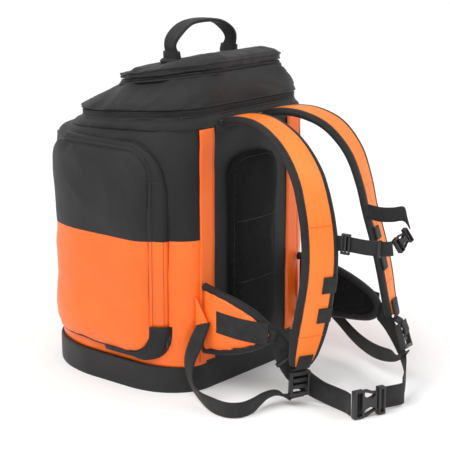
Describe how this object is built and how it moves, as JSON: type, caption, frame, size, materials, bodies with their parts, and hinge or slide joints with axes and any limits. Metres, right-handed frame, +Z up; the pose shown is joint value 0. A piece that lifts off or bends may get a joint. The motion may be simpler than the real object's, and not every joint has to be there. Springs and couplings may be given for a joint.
{
  "type": "ski boot backpack",
  "caption": "Upright ski boot backpack with a tub base, a side door to each boot compartment, a zipped lid and cap, shoulder straps, hip belt and carry handle.",
  "frame": {"origin": "on the floor, at the middle of the base", "axes": "+Z up, +Y towards the wearer's back (harness side), +X towards the wearer's right"},
  "size_m": [0.398, 0.6778, 0.599],
  "materials": {
    "base_shell": "coated black fabric",
    "stiffener": "matte",
    "orange_tarpaulin": "soft sheen tarpaulin",
    "webbing": "woven, matte",
    "hardware": "satin moulded",
    "pull_cord": "matte",
    "zip_tape": "coated coil zip",
    "lining": "plain lining",
    "padded_mesh": "spacer mesh",
    "black_fabric": "fine weave, matte"
  },
  "bodies": {
    "root": {"base_tub": "base_shell", "base_board": "stiffener", "back_panel": "black_fabric", "rear_corner_panels": "black_fabric", "front_panel": "black_fabric", "door_sills": "orange_tarpaulin", "upper_panel": "black_fabric", "yoke_band": "black_fabric", "lid_zip": "zip_tape", "boot_dividers": "lining", "boot_ceilings": "lining", "front_pocket_lower": "orange_tarpaulin", "front_pocket_upper": "black_fabric", "front_zips": "zip_tape", "back_pad": "padded_mesh", "back_strips": "orange_tarpaulin", "strap_anchor": "webbing", "adjuster_tabs": "orange_tarpaulin", "door_zips": "zip_tape", "adjuster_webbing_right": "webbing", "adjuster_webbing_left": "webbing", "hip_webbing_right": "webbing", "hip_webbing_left": "webbing", "hip_buckle_female": "hardware"},
    "lid": {"lid_gusset": "black_fabric", "cap_zip": "zip_tape"},
    "cap": {"cap_panel": "black_fabric", "handle_anchors": "webbing"},
    "handle": {"carry_handle": "webbing"},
    "door_right": {"door_lower_right": "orange_tarpaulin", "door_upper_right": "black_fabric"},
    "door_left": {"door_lower_left": "orange_tarpaulin", "door_upper_left": "black_fabric"},
    "strap_right": {"strap_pad_right": "orange_tarpaulin", "strap_webbing_right": "webbing", "sternum_webbing_right": "webbing", "sternum_buckle_female": "hardware"},
    "strap_left": {"strap_pad_left": "orange_tarpaulin", "strap_webbing_left": "webbing", "sternum_webbing_left": "webbing"},
    "lock_right": {"ladder_lock_right": "hardware"},
    "lock_left": {"ladder_lock_left": "hardware"},
    "wing_right": {"hip_wing_right": "orange_tarpaulin"},
    "wing_left": {"hip_wing_left": "orange_tarpaulin"},
    "hip_tongue": {"hip_buckle_male": "hardware"},
    "sternum_tongue": {"sternum_buckle_male": "hardware"},
    "pocket_zip_a_slider": {"pocket_zip_a_slider": "hardware"},
    "pocket_zip_a_pull": {"pocket_zip_a_pull": "pull_cord"},
    "pocket_zip_b_slider": {"pocket_zip_b_slider": "hardware"},
    "pocket_zip_b_pull": {"pocket_zip_b_pull": "pull_cord"},
    "upper_zip_slider": {"upper_zip_slider": "hardware"},
    "upper_zip_pull": {"upper_zip_pull": "pull_cord"},
    "lid_zip_slider": {"lid_zip_slider": "hardware"},
    "lid_zip_pull": {"lid_zip_pull": "pull_cord"},
    "cap_zip_slider": {"cap_zip_slider": "hardware"},
    "cap_zip_pull": {"cap_zip_pull": "pull_cord"},
    "door_zip_right_slider": {"door_zip_right_slider": "hardware"},
    "door_zip_right_pull": {"door_zip_right_pull": "pull_cord"},
    "door_zip_left_slider": {"door_zip_left_slider": "hardware"},
    "door_zip_left_pull": {"door_zip_left_pull": "pull_cord"}
  },
  "joints": [
    {"name": "lid_hinge", "type": "hinge", "parent": "root", "child": "lid", "pos_m": [0, 0.1682, 0.4705], "axis": [-1, 0, 0], "range_deg": [0, 60]},
    {"name": "cap_hinge", "type": "hinge", "parent": "lid", "child": "cap", "pos_m": [0, 0.1662, 0.5275], "axis": [-1, 0, 0], "range_deg": [0, 65]},
    {"name": "handle_fold", "type": "hinge", "parent": "cap", "child": "handle", "pos_m": [0, 0.062, 0.5455], "axis": [1, 0, 0], "range_deg": [-60, 60]},
    {"name": "door_right_hinge", "type": "hinge", "parent": "root", "child": "door_right", "pos_m": [0.1705, -0.134, 0.234], "axis": [0, 0, -1], "range_deg": [0, 100]},
    {"name": "door_left_hinge", "type": "hinge", "parent": "root", "child": "door_left", "pos_m": [-0.1705, -0.134, 0.234], "axis": [0, 0, 1], "range_deg": [0, 100]},
    {"name": "strap_right_swing", "type": "hinge", "parent": "root", "child": "strap_right", "pos_m": [0, 0.173, 0.444], "axis": [1, 0, 0], "range_deg": [0, 20]},
    {"name": "strap_left_swing", "type": "hinge", "parent": "root", "child": "strap_left", "pos_m": [0, 0.173, 0.444], "axis": [1, 0, 0], "range_deg": [0, 20]},
    {"name": "lock_right_tilt", "type": "hinge", "parent": "strap_right", "child": "lock_right", "pos_m": [0.084, 0.34, 0.06], "axis": [0.9135, -0.4067, 0], "range_deg": [-3, 25]},
    {"name": "lock_left_tilt", "type": "hinge", "parent": "strap_left", "child": "lock_left", "pos_m": [-0.087, 0.418, 0.114], "axis": [0.9613, 0.2756, 0], "range_deg": [-25, 15]},
    {"name": "wing_right_fold", "type": "hinge", "parent": "root", "child": "wing_right", "pos_m": [0.127, 0.174, 0.125], "axis": [0, 0, -1], "range_deg": [-15, 8]},
    {"name": "wing_left_fold", "type": "hinge", "parent": "root", "child": "wing_left", "pos_m": [-0.127, 0.174, 0.125], "axis": [0, 0, 1], "range_deg": [-15, 8]},
    {"name": "hip_buckle_release", "type": "slide", "parent": "root", "child": "hip_tongue", "axis": [-0.9302, 0.3671, 0], "range_m": [0, 0.03]},
    {"name": "sternum_buckle_release", "type": "slide", "parent": "strap_left", "child": "sternum_tongue", "axis": [-0.8602, 0.1, 0.5001], "range_m": [0, 0.016]},
    {"name": "pocket_zip_a_travel", "type": "slide", "parent": "root", "child": "pocket_zip_a_slider", "axis": [1, 0, 0], "range_m": [0, 0.005]},
    {"name": "pocket_zip_a_pull_swing", "type": "hinge", "parent": "pocket_zip_a_slider", "child": "pocket_zip_a_pull", "pos_m": [0.092, -0.1918, 0.257], "axis": [-1, 0, 0], "range_deg": [0, 80]},
    {"name": "pocket_zip_b_travel", "type": "slide", "parent": "root", "child": "pocket_zip_b_slider", "axis": [-1, 0, 0], "range_m": [0, 0.16]},
    {"name": "pocket_zip_b_pull_swing", "type": "hinge", "parent": "pocket_zip_b_slider", "child": "pocket_zip_b_pull", "pos_m": [0.072, -0.1918, 0.257], "axis": [-1, 0, 0], "range_deg": [0, 80]},
    {"name": "upper_zip_travel", "type": "slide", "parent": "root", "child": "upper_zip_slider", "axis": [-1, 0, 0], "range_m": [0, 0.18]},
    {"name": "upper_zip_pull_swing", "type": "hinge", "parent": "upper_zip_slider", "child": "upper_zip_pull", "pos_m": [0.09, -0.1918, 0.39], "axis": [-1, 0, 0], "range_deg": [0, 80]},
    {"name": "lid_zip_travel", "type": "slide", "parent": "root", "child": "lid_zip_slider", "axis": [-1, 0, 0], "range_m": [0, 0.08]},
    {"name": "lid_zip_pull_swing", "type": "hinge", "parent": "lid_zip_slider", "child": "lid_zip_pull", "pos_m": [0.04, -0.13442, 0.4436], "axis": [-1, 0, 0], "range_deg": [0, 80]},
    {"name": "cap_zip_travel", "type": "slide", "parent": "lid", "child": "cap_zip_slider", "axis": [-1, 0, 0], "range_m": [0, 0.07]},
    {"name": "cap_zip_pull_swing", "type": "hinge", "parent": "cap_zip_slider", "child": "cap_zip_pull", "pos_m": [0.036, -0.07082, 0.4929], "axis": [-1, 0, 0], "range_deg": [0, 80]},
    {"name": "door_zip_right_travel", "type": "slide", "parent": "root", "child": "door_zip_right_slider", "axis": [0, 0, 1], "range_m": [0, 0.24]},
    {"name": "door_zip_right_pull_swing", "type": "hinge", "parent": "door_zip_right_slider", "child": "door_zip_right_pull", "pos_m": [0.17913, 0.14065, 0.091], "axis": [0.4612, -0.8873, 0], "range_deg": [0, 80]},
    {"name": "door_zip_left_travel", "type": "slide", "parent": "root", "child": "door_zip_left_slider", "axis": [0, 0, 1], "range_m": [0, 0.24]},
    {"name": "door_zip_left_pull_swing", "type": "hinge", "parent": "door_zip_left_slider", "child": "door_zip_left_pull", "pos_m": [-0.17913, 0.14065, 0.091], "axis": [0.4612, 0.8873, 0], "range_deg": [0, 80]}
  ],
  "couplings": [
    {"joint": "strap_left_swing", "follows": "strap_right_swing", "ratio": 1}
  ]
}
